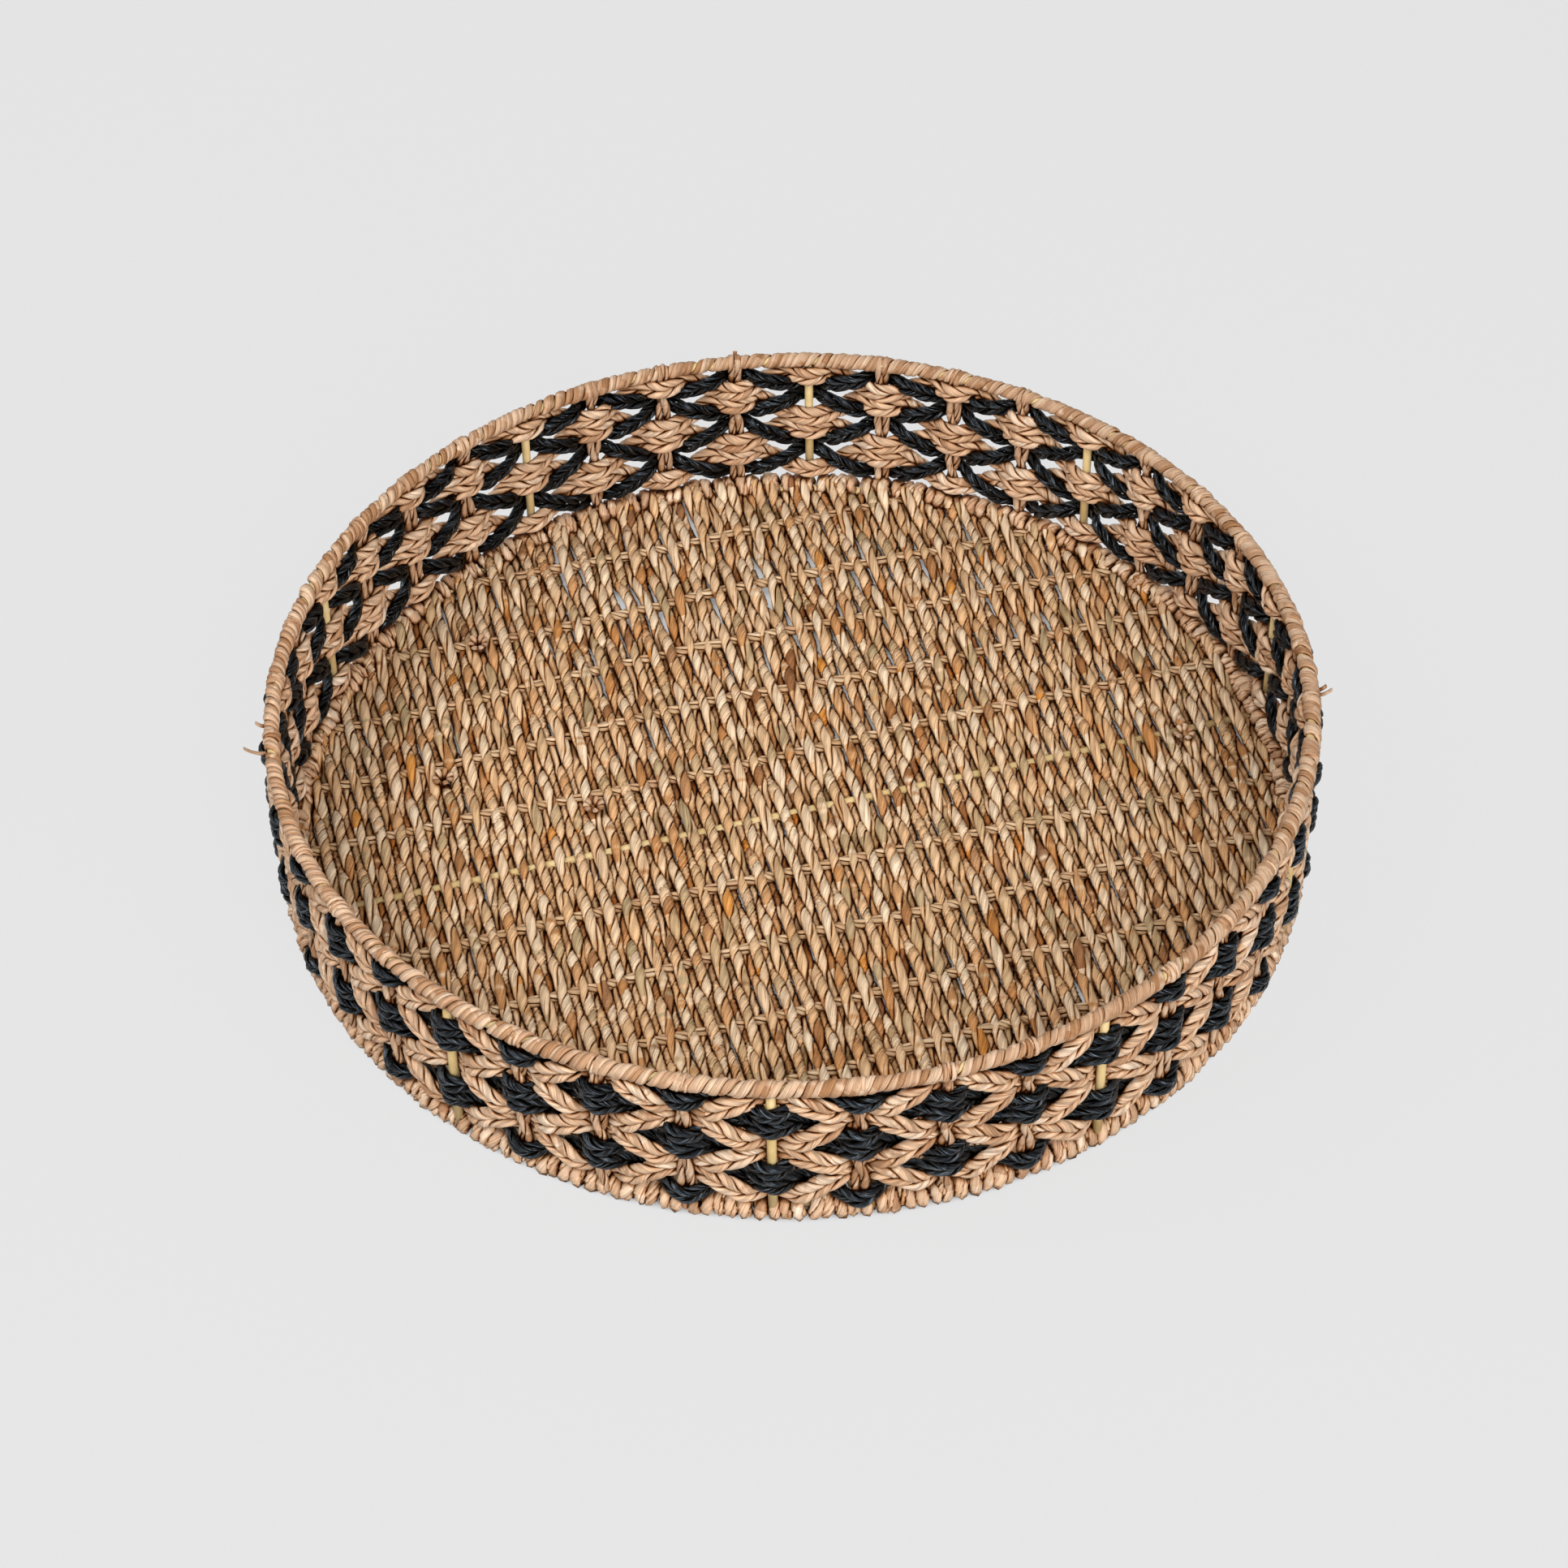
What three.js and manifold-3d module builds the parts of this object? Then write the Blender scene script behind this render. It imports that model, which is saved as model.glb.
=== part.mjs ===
// Round tray woven from seagrass rope on a welded wire frame.
// Millimetres, +Z up. The origin is on the floor under the middle of the tray.
// X runs along the bare wire that crosses the base.

import * as THREE from 'three';
import { mergeVertices } from 'three/addons/utils/BufferGeometryUtils.js';
import Module from 'manifold-3d';

// Overall size
const TRAY_DIAMETER = 450;
const TRAY_HEIGHT = 84;
const CLEARANCE = 0.3;

// Wire frame
const RING_WIRE = 4;
const BARE_WIRE = 4;
const UPRIGHT_COUNT = 10;
const UPRIGHT_FOOT = 1;

// Seagrass on the rings and between them
const RIM_BINDING = 8;
const BASE_EDGE = 9;
const CORDS_PER_BAY = 3;
const CORD_PAIR_WIDTH = 7.2;
const CORD_DEPTH = 2.5;

// Weavers: each is two ropes that lie one above the other over a stake
// and draw together where a natural and a black weaver cross
const WEAVERS_PER_COLOUR = 4;
const WEAVER_DEPTH = 2.7;
const WEAVER_HEIGHT_AT_STAKE = 7.4;
const WEAVER_HEIGHT_AT_CROSSING = 4.4;
const WEAVER_REACH_AT_STAKE = 4.8;
const CROSSING_START = 0.25;
const LEVEL_DROPS = [0, 0.2, 0.46, 0.74, 1];

// Base mat: one rope in side by side passes
const ROPE_PASSES = 101;
const MAT_STANDOFF = 0.5;
const ROPE_GROOVE = 1.2;

// Facets
const RING_FACETS_PER_BAY = 5;
const SECTION_SIDES = 8;

const COLOURS = {
  wire: { color: 0xcdb678, roughness: 0.45, metalness: 0.3 },
  cord: { color: 0xcfa878, roughness: 0.8, metalness: 0 },
  natural: { color: 0xd2a679, roughness: 0.8, metalness: 0 },
  black: { color: 0x1c2026, roughness: 0.55, metalness: 0 },
  binding: { color: 0xd4ab7c, roughness: 0.75, metalness: 0 },
  mat: { color: 0xba9663, roughness: 0.8, metalness: 0 },
};

// Related sizes
const rimRadius = (TRAY_DIAMETER - RIM_BINDING) / 2;
const rimHeight = TRAY_HEIGHT - RIM_BINDING / 2;
const stakeRadius = rimRadius;
const baseRadius = stakeRadius - BARE_WIRE / 2 - RING_WIRE / 2 - CLEARANCE;
const baseHeight = BASE_EDGE / 2;
const wallBottom = BASE_EDGE;
const wallTop = rimHeight - RIM_BINDING / 2;
const stakeCount = UPRIGHT_COUNT * (CORDS_PER_BAY + 1);
const stakeAngle = 2 * Math.PI / stakeCount;
const boreWidth = RING_WIRE + 2 * CLEARANCE;
const wireHole = BARE_WIRE + 2 * CLEARANCE;
const ringFacets = RING_FACETS_PER_BAY * UPRIGHT_COUNT;

const wasm = await Module();
wasm.setup();

function toManifold(geometry) {
  const bare = geometry.clone();
  bare.deleteAttribute('normal');
  bare.deleteAttribute('uv');
  const merged = mergeVertices(bare, 1e-4);
  return new wasm.Manifold(new wasm.Mesh({
    numProp: 3,
    vertProperties: new Float32Array(merged.attributes.position.array),
    triVerts: new Uint32Array(merged.index.array),
  }));
}

function toGeometry(solid) {
  const mesh = solid.getMesh();
  const geometry = new THREE.BufferGeometry();
  geometry.setAttribute('position', new THREE.BufferAttribute(mesh.vertProperties, 3));
  geometry.setIndex(new THREE.BufferAttribute(mesh.triVerts, 1));
  return geometry;
}

// Ring whose section has flats on top, below and at both sides, as far apart as its thickness.
// Every upright stands at a corner of its outline.
function ring(centreRadius, centreHeight, thickness) {
  const cornerRadius = thickness / 2 / Math.cos(Math.PI / SECTION_SIDES);
  const profile = [];
  for (let corner = 0; corner <= SECTION_SIDES; corner += 1) {
    const angle = (corner % SECTION_SIDES + 0.5) * 2 * Math.PI / SECTION_SIDES;
    profile.push(new THREE.Vector2(
      centreRadius + cornerRadius * Math.cos(angle),
      centreHeight + cornerRadius * Math.sin(angle),
    ));
  }
  return new THREE.LatheGeometry(profile, ringFacets, Math.PI / 2).rotateX(Math.PI / 2);
}

function uprightBar(thickness, bottom, top) {
  const bar = new THREE.CylinderGeometry(thickness / 2, thickness / 2, top - bottom, SECTION_SIDES);
  return bar.rotateX(Math.PI / 2).translate(0, 0, (bottom + top) / 2);
}

function crossBar(thickness, length) {
  const bar = new THREE.CylinderGeometry(thickness / 2, thickness / 2, length, SECTION_SIDES);
  return bar.rotateZ(Math.PI / 2).translate(0, 0, baseHeight);
}

// Two cords side by side as one bar with round edges, standing between the base edge and the rim
function cordPair() {
  const round = CORD_DEPTH / 2;
  const half = CORD_PAIR_WIDTH / 2 - round;
  const section = new THREE.Shape();
  section.absarc(0, half, round, 0, Math.PI, false);
  section.absarc(0, -half, round, Math.PI, 2 * Math.PI, false);
  const height = wallTop - CLEARANCE - wallBottom;
  const bar = new THREE.ExtrudeGeometry(section, { depth: height, bevelEnabled: false, curveSegments: 2 });
  return bar.translate(0, 0, wallBottom);
}

// Heights of the four weavers of one colour at a stake, from the top down.
// Five levels share the wall, closer near the rim. Weavers lie alone at the first and last, in twos between.
const levelSpan = wallTop - wallBottom - 2 * CLEARANCE - WEAVER_HEIGHT_AT_STAKE;
const topLevel = wallTop - CLEARANCE - WEAVER_HEIGHT_AT_STAKE / 2;
const levelHeight = (level) => topLevel - LEVEL_DROPS[level] * levelSpan;
const besideLevel = (level, side) => levelHeight(level) + side * (WEAVER_HEIGHT_AT_STAKE + CLEARANCE) / 2;
const spreadHeights = [levelHeight(0), besideLevel(2, 1), besideLevel(2, -1), levelHeight(4)];
const pairedHeights = [besideLevel(1, 1), besideLevel(1, -1), besideLevel(3, 1), besideLevel(3, -1)];

// Closed band through sections {angle, radius, height, tall}
function closedBand(sections, depth) {
  const corners = [[-1, -1], [1, -1], [1, 1], [-1, 1]];
  const positions = [];
  const index = [];
  sections.forEach(({ angle, radius, height, tall }, at) => {
    for (const [out, up] of corners) {
      const r = radius + out * depth / 2;
      positions.push(r * Math.cos(angle), r * Math.sin(angle), height + up * tall / 2);
    }
    const here = at * 4;
    const next = (at + 1) % sections.length * 4;
    for (let side = 0; side < 4; side += 1) {
      const other = (side + 1) % 4;
      index.push(here + side, next + side, next + other, here + side, next + other, here + other);
    }
  });
  const geometry = new THREE.BufferGeometry();
  geometry.setAttribute('position', new THREE.Float32BufferAttribute(positions, 3));
  geometry.setIndex(index);
  return geometry;
}

// One weaver. It passes every stake on the same side, -1 inside or 1 outside, and swings
// through to the other side between stakes, where it crosses the weaver of the other colour.
function weaver(side, heightAtEven, heightAtOdd) {
  const crossingReach = WEAVER_DEPTH / 2 + CLEARANCE;
  const sections = [];
  for (let stake = 0; stake < stakeCount; stake += 1) {
    const height = stake % 2 ? heightAtOdd : heightAtEven;
    const nextHeight = stake % 2 ? heightAtEven : heightAtOdd;
    sections.push({
      angle: stake * stakeAngle,
      radius: stakeRadius + side * WEAVER_REACH_AT_STAKE,
      height,
      tall: WEAVER_HEIGHT_AT_STAKE,
    });
    for (const share of [CROSSING_START, 1 - CROSSING_START]) {
      sections.push({
        angle: (stake + share) * stakeAngle,
        radius: stakeRadius - side * crossingReach,
        height: THREE.MathUtils.lerp(height, nextHeight, (1 - Math.cos(Math.PI * share)) / 2),
        tall: WEAVER_HEIGHT_AT_CROSSING,
      });
    }
  }
  return closedBand(sections, WEAVER_DEPTH);
}

// Rim binding: a sleeve on the rim wire, open below where each upright comes up to the wire
function rimBinding() {
  let solid = toManifold(ring(rimRadius, rimHeight, RIM_BINDING));
  solid = solid.subtract(toManifold(ring(rimRadius, rimHeight, boreWidth)));
  const hole = toManifold(uprightBar(wireHole, wallTop - 1, rimHeight));
  for (let upright = 0; upright < UPRIGHT_COUNT; upright += 1) {
    const degrees = upright * 360 / UPRIGHT_COUNT;
    solid = solid.subtract(hole.translate([stakeRadius, 0, 0]).rotate([0, 0, degrees]));
  }
  return toGeometry(solid);
}

// Base mat: passes of rope side by side, turned round the base wire at both ends
const passPitch = 2 * (baseRadius - CLEARANCE) / ROPE_PASSES;
const passCentre = (pass) => (pass - (ROPE_PASSES - 1) / 2) * passPitch;

function ropePasses() {
  const top = BASE_EDGE - MAT_STANDOFF;
  const bottom = MAT_STANDOFF;
  const upper = [];
  const lower = [];
  for (let pass = 0; pass < ROPE_PASSES; pass += 1) {
    const x = passCentre(pass);
    upper.push([x - passPitch / 2, top - ROPE_GROOVE], [x, top]);
    lower.push([x - passPitch / 2, bottom + ROPE_GROOVE], [x, bottom]);
  }
  const end = passCentre(ROPE_PASSES - 1) + passPitch / 2;
  upper.push([end, top - ROPE_GROOVE]);
  lower.push([end, bottom + ROPE_GROOVE]);
  const section = new THREE.Shape(lower.concat(upper.reverse()).map(([x, z]) => new THREE.Vector2(x, z)));
  const length = 2 * baseRadius;
  const passes = new THREE.ExtrudeGeometry(section, { depth: length, bevelEnabled: false });
  return passes.translate(0, 0, -length / 2).rotateX(Math.PI / 2);
}

function baseMat() {
  const reach = baseRadius - CLEARANCE;
  const disc = new THREE.CylinderGeometry(reach, reach, BASE_EDGE, ringFacets);
  let solid = toManifold(ropePasses());
  solid = solid.intersect(toManifold(disc.rotateX(Math.PI / 2).translate(0, 0, baseHeight)));
  solid = solid.add(toManifold(ring(baseRadius, baseHeight, BASE_EDGE)));
  solid = solid.subtract(toManifold(ring(baseRadius, baseHeight, boreWidth)));
  solid = solid.subtract(toManifold(crossBar(wireHole, 2 * baseRadius)));
  const notch = toManifold(uprightBar(wireHole, -1, BASE_EDGE + 1));
  for (let upright = 0; upright < UPRIGHT_COUNT; upright += 1) {
    const degrees = upright * 360 / UPRIGHT_COUNT;
    solid = solid.subtract(notch.translate([stakeRadius, 0, 0]).rotate([0, 0, degrees]));
  }
  return toGeometry(solid);
}

const tray = new THREE.Group();
tray.name = 'seagrass_tray';

function place(name, geometry, colour, turn = 0, radius = 0) {
  const mesh = new THREE.Mesh(geometry, new THREE.MeshStandardMaterial(COLOURS[colour]));
  mesh.name = name;
  mesh.position.set(radius * Math.cos(turn), radius * Math.sin(turn), 0);
  mesh.rotation.z = turn;
  tray.add(mesh);
}

const twoDigits = (number) => String(number).padStart(2, '0');

// Welded wire frame
place('rim_wire', ring(rimRadius, rimHeight, RING_WIRE), 'wire');
place('base_wire', ring(baseRadius, baseHeight, RING_WIRE), 'wire');
place('centre_wire', crossBar(BARE_WIRE, 2 * (baseRadius - boreWidth / 2)), 'wire');

// Uprights, with cords standing between them
const uprightTop = rimHeight - RING_WIRE / 2 - CLEARANCE;
let uprightNumber = 0;
let cordNumber = 0;
for (let stake = 0; stake < stakeCount; stake += 1) {
  if (stake % (CORDS_PER_BAY + 1) === 0) {
    uprightNumber += 1;
    const wire = uprightBar(BARE_WIRE, UPRIGHT_FOOT, uprightTop);
    place(`upright_wire_${twoDigits(uprightNumber)}`, wire, 'wire', stake * stakeAngle, stakeRadius);
  } else {
    cordNumber += 1;
    place(`wall_cord_${twoDigits(cordNumber)}`, cordPair(), 'cord', stake * stakeAngle, stakeRadius);
  }
}

// Weavers: natural inside the stakes, black outside, half a wave apart
for (let number = 0; number < WEAVERS_PER_COLOUR; number += 1) {
  const natural = weaver(-1, spreadHeights[number], pairedHeights[number]);
  const black = weaver(1, pairedHeights[number], spreadHeights[number]);
  place(`natural_weaver_${number + 1}`, natural, 'natural');
  place(`black_weaver_${number + 1}`, black, 'black');
}

place('rim_binding', rimBinding(), 'binding');
place('base_mat', baseMat(), 'mat');

export default tray;
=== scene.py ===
"""Round seagrass tray on a wire frame, dressed over its CAD frame. Metres, +Z up."""

import math
import random

import bpy
from mathutils import Matrix, Vector, noise


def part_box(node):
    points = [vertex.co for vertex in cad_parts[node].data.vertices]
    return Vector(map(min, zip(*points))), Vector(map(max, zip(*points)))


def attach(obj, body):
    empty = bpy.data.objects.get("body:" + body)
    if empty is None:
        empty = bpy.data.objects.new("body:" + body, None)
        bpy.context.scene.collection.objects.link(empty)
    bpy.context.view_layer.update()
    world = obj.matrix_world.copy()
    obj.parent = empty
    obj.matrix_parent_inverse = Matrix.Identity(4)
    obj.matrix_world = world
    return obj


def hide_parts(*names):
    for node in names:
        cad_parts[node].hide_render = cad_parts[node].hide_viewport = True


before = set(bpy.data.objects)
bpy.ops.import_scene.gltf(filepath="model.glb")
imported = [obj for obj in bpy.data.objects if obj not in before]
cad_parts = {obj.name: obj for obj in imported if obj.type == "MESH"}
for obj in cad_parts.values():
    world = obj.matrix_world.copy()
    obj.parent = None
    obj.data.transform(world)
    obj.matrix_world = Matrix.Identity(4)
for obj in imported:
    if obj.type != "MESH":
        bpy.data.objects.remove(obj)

bl_info = {
    "name": "Seagrass tray",
    "version": (1, 0, 0),
    "blender": (4, 5, 0),
    "location": "3D Viewport > Sidebar > Tray",
    "description": "Weaves a round seagrass tray over its wire frame",
    "category": "Object",
}

MM = 0.001
BODY = "root"
UP = Vector((0, 0, 1))

# Node kinds that come up often
MATH = "ShaderNodeMath"
VECTOR = "ShaderNodeVectorMath"
COMBINE = "ShaderNodeCombineXYZ"
NOISE = "ShaderNodeTexNoise"
STORE = "GeometryNodeStoreNamedAttribute"

# Pieces of the frame, and the stakes that the wall is woven on
UPRIGHTS = sum("upright_wire_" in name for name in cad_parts)
WALL_CORDS = [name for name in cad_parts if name.startswith("wall_cord_")]
STAKES = UPRIGHTS + len(WALL_CORDS)
STAKES_PER_UPRIGHT = STAKES // UPRIGHTS
WEAVERS = sum("black_weaver_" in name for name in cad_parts)

# View of the tray: a square frame in pixels, angles in degrees, the distance in metres
FRAME_SIDE = 1932
FOCAL_LENGTH = 4756.4
TRAY_CENTRE = (976.6, 1011.3)
VIEW_PITCH = 45.59
VIEW_ROLL = 1.03
VIEW_TURN = -15.1
VIEW_DISTANCE = 1.7028

# Places on the mat, in millimetres, where a base rope ends in an open tuft
ROPE_ENDS = ((-110, 141), (-144, 61), (180, -6), (-84, 25))

# Free strip ends on the rim: angle round the tray in degrees, length in millimetres
LOOSE_ENDS = ((173.1, 9.0), (169.0, 4.0), (-17.3, 6.0), (-16.6, 4.0), (80.9, 3.5))

# Seagrass fibres, drawn coarser than real ones so that they show
FIBRE_LENGTH = 14 * MM
FIBRE_WIDTH = 0.5 * MM

# Soft studio: lamps by place and width in metres and power in watts, light from all round, and the floor
LAMPS = {
    "stage_key": ((-1.1, -0.1, 1.35), 1.0, 17.0),
    "stage_fill": ((0.15, -1.45, 1.13), 1.7, 43.0),
    "stage_back": ((0.4, 1.5, 1.0), 1.5, 9.0),
}
LIGHT_ALL_ROUND = 0.16
FLOOR_REACH = 12.0
FLOOR_SHADE = "#989898"


def linear(hex_colour):
    """sRGB hex to linear RGB."""
    channels = [int(hex_colour[i:i + 2], 16) / 255 for i in (1, 3, 5)]
    return [c / 12.92 if c <= 0.04045 else ((c + 0.055) / 1.055) ** 2.4 for c in channels]


def ring(node):
    """Radius and height of a ring wire's middle line."""
    low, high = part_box(node)
    wire = high.z - low.z
    return (high.x - low.x - wire) / 2, (low.z + high.z) / 2


def wander(position, lane, amount):
    """Smooth chance variation along a piece. Each lane has its own run."""
    return amount * noise.noise(Vector((position, lane * 7.31 + 0.5, 3.7)))


def chance(*keys):
    """A repeatable number from 0 to 1 for these keys."""
    return random.Random(repr(keys)).random()


def ease(value, start, end):
    """Rises smoothly from 0 at the start to 1 at the end."""
    share = min(max((value - start) / (end - start), 0.0), 1.0)
    return share * share * (3 - 2 * share)


def around(angle, radius, height):
    """A point, or a direction, at an angle round the tray's axis."""
    return Vector((radius * math.cos(angle), radius * math.sin(angle), height))


def smooth_path(corners, per_span=4):
    """Points of a smooth curve through the corners."""
    points = []
    ends = [corners[0]] + corners + [corners[-1]]
    for i in range(len(corners) - 1):
        a, b, c, d = ends[i:i + 4]
        for step in range(per_span):
            t = step / per_span
            points.append(0.5 * (2 * b + (c - a) * t + (2 * a - 5 * b + 4 * c - d) * t * t
                                 + (3 * b - a - 3 * c + d) * t ** 3))
    return points + [corners[-1]]


# Sizes and colours

RIM_RADIUS, RIM_HEIGHT = ring("rim_wire")
BASE_RADIUS, BASE_HEIGHT = ring("base_wire")


def length(name, metres, description):
    """A length that can be set."""
    return bpy.props.FloatProperty(name=name, description=description, default=metres, precision=5,
                                   unit="LENGTH", subtype="DISTANCE")


def count(name, number, description):
    """A count that can be set."""
    return bpy.props.IntProperty(name=name, description=description, default=number, min=1)


def fraction(name, number, description):
    """A share of a whole that can be set."""
    return bpy.props.FloatProperty(name=name, description=description, default=number, min=0.0,
                                   max=0.45, subtype="FACTOR")


def levels(name, millimetres, description):
    """The heights of the five levels of the weave, from the top."""
    return bpy.props.FloatVectorProperty(name=name, description=description, size=5, precision=5,
                                         default=[height * MM for height in millimetres],
                                         unit="LENGTH", subtype="NONE")


def colour(name, hex_colour, description):
    """A colour that can be set."""
    return bpy.props.FloatVectorProperty(name=name, description=description, size=3, min=0.0, max=1.0,
                                         default=linear(hex_colour), subtype="COLOR")


class TrayWall(bpy.types.PropertyGroup):
    radius: length("Stake radius", RIM_RADIUS, "Radius of the circle of uprights and wall cords")
    natural_rope: length("Natural rope", 5.3 * MM, "Thickness of a natural wall rope")
    black_rope: length("Black rope", 4.4 * MM, "Thickness of a black wall rope")
    lay: length("Rope lay", 17.5 * MM, "Length of one turn of a rope's two plies")
    reach: length("Reach at a stake", 3.9 * MM, "Distance of a rope from the stake circle at a stake")
    natural_groove: fraction("Natural groove", 0.02, "Depth of the groove between a natural rope's plies")
    black_groove: fraction("Black groove", 0.07, "Depth of the groove between a black rope's plies")
    natural_crossing: length("Natural reach at a crossing", 1.3 * MM,
                             "How far out natural ropes pass between stakes")
    black_crossing: length("Black reach at a crossing", 3.2 * MM,
                           "How far in black ropes pass between stakes")
    natural_hold: fraction("Natural hold", 0.22,
                           "Share of a bay for which a natural rope keeps level at a stake")
    black_hold: fraction("Black hold", 0.05,
                         "Share of a bay for which a black rope keeps level at a stake")
    spread: length("Rope spacing at a stake", 4.2 * MM, "Spacing of the ropes where they pass a stake")
    natural_drawn: length("Natural spacing at a crossing", 4.9 * MM,
                          "Spacing of natural ropes between stakes")
    black_drawn: length("Black spacing at a crossing", 3.7 * MM,
                        "Spacing of black ropes between stakes")
    natural: levels("Natural levels", (73.2, 61.6, 44.8, 29.8, 16.7), "Levels of the natural ropes")
    black: levels("Black levels", (72.3, 63.4, 47.5, 29.2, 14.5), "Levels of the black ropes")
    cord: length("Cord strand", 3.8 * MM, "Thickness of one strand of a wall cord")
    cord_turn: length("Cord turn", 58 * MM,
                      "Height in which the strands of a cord go once round each other")
    cord_foot: length("Cord foot", 5 * MM, "Height of the foot of a wall cord")


class TrayRim(bpy.types.PropertyGroup):
    radius: length("Rim radius", RIM_RADIUS, "Radius of the rim wire")
    height: length("Rim height", RIM_HEIGHT, "Height of the rim wire")
    bound: length("Binding radius", 2.45 * MM, "Radius of the binding's middle layer round the wire")
    strip: length("Strip width", 3.5 * MM, "Width of one binding strip")
    thickness: length("Strip thickness", 2.3 * MM, "Thickness of one binding strip")
    fold: length("Cord fold radius", 2.2 * MM, "Radius of a wall cord's fold over the rim")
    starts: count("Strips side by side", 3, "Strips wound next to each other")
    turns: count("Turns", 146, "Turns of each strip round the rim wire")


class TrayBase(bpy.types.PropertyGroup):
    radius: length("Base radius", BASE_RADIUS, "Radius of the base wire")
    height: length("Base height", BASE_HEIGHT, "Height of the base wire and of the middle of the mat")
    passes: count("Passes", 101, "Passes of the base rope")
    pitch: length("Pass pitch", 4.22 * MM, "Spacing of the passes")
    rope: length("Rope thickness", 5.5 * MM, "Thickness of the base rope")
    lay: length("Rope lay", 19.5 * MM, "Length of one turn of a rope's two plies")
    wave: length("Weave height", 2.4 * MM, "Rise of the rope over a cross cord")
    sag: length("Weave depth", 1.3 * MM, "Drop of the rope under a cross cord, where the tray stands")
    cord_pitch: length("Cross cord pitch", 36.6 * MM, "Spacing of the cross cords")
    cords: count("Cross cords each side", 5, "Cross cords on each side of the centre wire")
    cord: length("Cross cord width", 7.6 * MM, "Width of a cross cord")
    loops: count("Edge turns", 256, "Turns of rope round the base wire")
    loop: length("Edge turn radius", 3.3 * MM, "Radius of the turns round the base wire")
    bend: length("Edge bend", 14 * MM, "Length over which a pass bends up or down to the base wire")
    lift: length("Edge lift", 1.2 * MM, "How far outside the turns a pass goes over the base wire")
    dip: length("Edge dip", 1.5 * MM, "How far below the base wire a pass goes under it")
    play: length("Play", 0.8 * MM, "How far each pass wanders to its sides")
    patch_play: length("Play in patches", 1.6 * MM, "How much further passes wander in loose patches")
    back_play: length("Play at the back", 1.3 * MM, "How much further passes wander at the back of the tray")
    back: length("Back", 150 * MM, "Distance from the centre wire at which the play at the back is full")


class TrayColours(bpy.types.PropertyGroup):
    natural: colour("Natural", "#e6c19f", "Most lobes of the natural wall ropes")
    natural_pale: colour("Natural pale", "#f7e1c8", "Palest lobes of the natural wall ropes")
    natural_dark: colour("Natural dark", "#b98c68", "Darkest lobes of the natural wall ropes")
    base: colour("Base", "#e8bd8e", "Most lobes of the base rope")
    base_pale: colour("Base pale", "#f5dfc0", "Palest lobes of the base rope")
    base_green: colour("Base grey green", "#b7a27c", "Lobes of greener grass in the base rope")
    base_orange: colour("Base orange", "#c98c52", "Few orange lobes of the base rope")
    base_ripe: colour("Base ripe", "#e0963f", "Rare bright orange lobes of the base rope")
    base_brown: colour("Base brown", "#8f5f3c", "Few brown lobes of the base rope")
    strip: colour("Strip", "#c8a180", "Most of the binding and the cords")
    strip_pale: colour("Strip pale", "#e2c5a8", "Palest parts of the binding and the cords")
    strip_dark: colour("Strip dark", "#a87a52", "Darkest parts of the binding and the cords")
    cross: colour("Cross cord", "#cdab82", "Most of the cross cords of the base")
    cross_pale: colour("Cross cord pale", "#e6ccaa", "Palest strands of the cross cords")
    # Painted shade: the darkest stop of the ambient occlusion darkening that the seagrass materials multiply
    # into deep gaps
    gap: colour("Gap", "#1c0e06", "Grass in the deep gaps between lobes")
    black: colour("Black", "#030404", "Black dyed rope")
    black_faded: colour("Black faded", "#12161b", "Black rope where less dye has taken")
    wire: colour("Wire paint", "#d8bd86", "Pale gold paint of the wire frame")
    wire_worn: colour("Wire paint worn", "#c6a86c", "Darker patches of the wire's paint")
    paper: colour("Paper", "#ececec", "Paper that the tray stands on")


# Node trees

def add(tree, kind, inputs=(), output=0, stops=(), **settings):
    """Adds a node with its settings, colour stops and inputs, and gives one of its outputs."""
    node = tree.nodes.new(kind)
    for name, value in settings.items():
        setattr(node, name, value)
    if stops:
        elements = node.color_ramp.elements
        while len(elements) < len(stops):
            elements.new(1.0)
        for element, (position, shade) in zip(elements, stops):
            element.position = position
            element.color = (*shade, 1.0)
    for key, value in inputs.items() if isinstance(inputs, dict) else enumerate(inputs):
        if isinstance(value, bpy.types.NodeSocket):
            tree.links.new(value, node.inputs[key])
        else:
            node.inputs[key].default_value = value
    return node.outputs[output] if node.outputs else node


def square_to(tree, direction, line):
    """The part of a direction that stands square to a line."""
    reach = add(tree, VECTOR, (direction, line), "Value", operation="DOT_PRODUCT")
    lengthwise = add(tree, VECTOR, {"Vector": line, "Scale": reach}, operation="SCALE")
    rest = add(tree, VECTOR, (direction, lengthwise), operation="SUBTRACT")
    return add(tree, VECTOR, (rest,), operation="NORMALIZE")


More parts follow.
